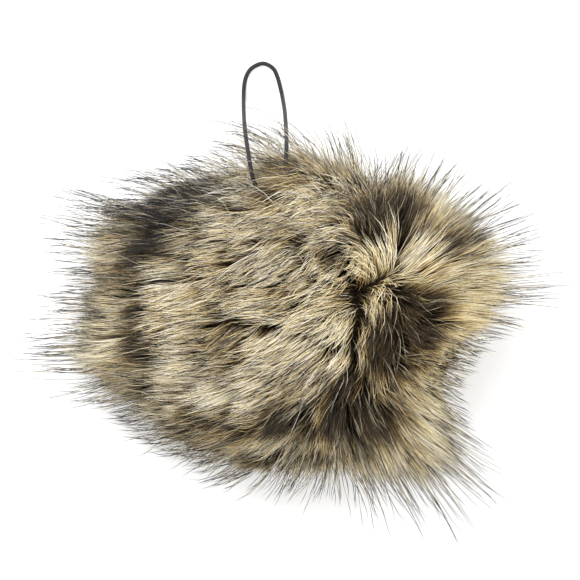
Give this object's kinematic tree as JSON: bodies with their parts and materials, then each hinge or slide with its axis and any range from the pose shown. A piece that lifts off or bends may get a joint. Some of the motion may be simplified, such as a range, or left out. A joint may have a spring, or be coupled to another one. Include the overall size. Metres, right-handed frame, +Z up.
{
  "type": "faux fur pom pom",
  "caption": "Round stuffed pom pom of long-pile faux fur in mottled brown, cream and black, lying on its back with a thin elastic hanging loop.",
  "frame": {"origin": "on the floor, at the middle of the flat spot that the ball rests on", "axes": "+X along the ball's widest way, +Y towards the gather and the elastic loop, +Z up, the ball's shortest way"},
  "size_m": [0.1417, 0.1268, 0.0814],
  "materials": {
    "faux_fur": "long mottled pile, soft sheen",
    "elastic": "satin"
  },
  "bodies": {
    "root": {"pom": "faux_fur", "loop": "elastic"}
  },
  "joints": []
}
